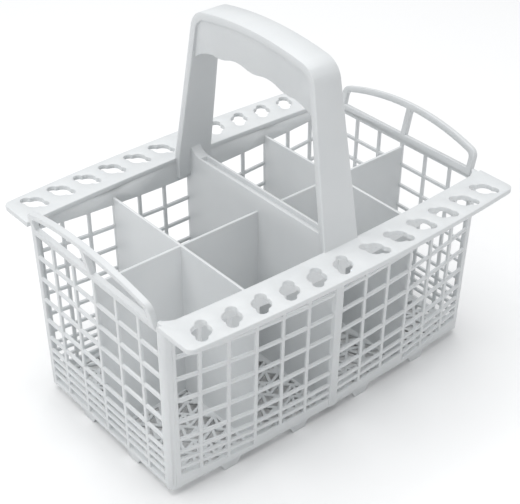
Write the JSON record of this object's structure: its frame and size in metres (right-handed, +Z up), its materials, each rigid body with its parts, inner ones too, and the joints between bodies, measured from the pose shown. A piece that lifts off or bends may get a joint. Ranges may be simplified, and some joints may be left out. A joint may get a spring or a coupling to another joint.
{
  "type": "dishwasher cutlery basket",
  "caption": "Open-topped moulded basket with lattice walls, inner dividers, holed side flanges, end loops and a bridge handle, for standing cutlery in a dishwasher.",
  "frame": {"origin": "on the table, under the middle of the basket", "axes": "+X along the basket, +Y across it, +Z up"},
  "size_m": [0.2528, 0.189, 0.2315],
  "materials": {
    "basket_plastic": "satin moulded"
  },
  "bodies": {
    "root": {"cutlery_basket": "basket_plastic"}
  },
  "joints": []
}
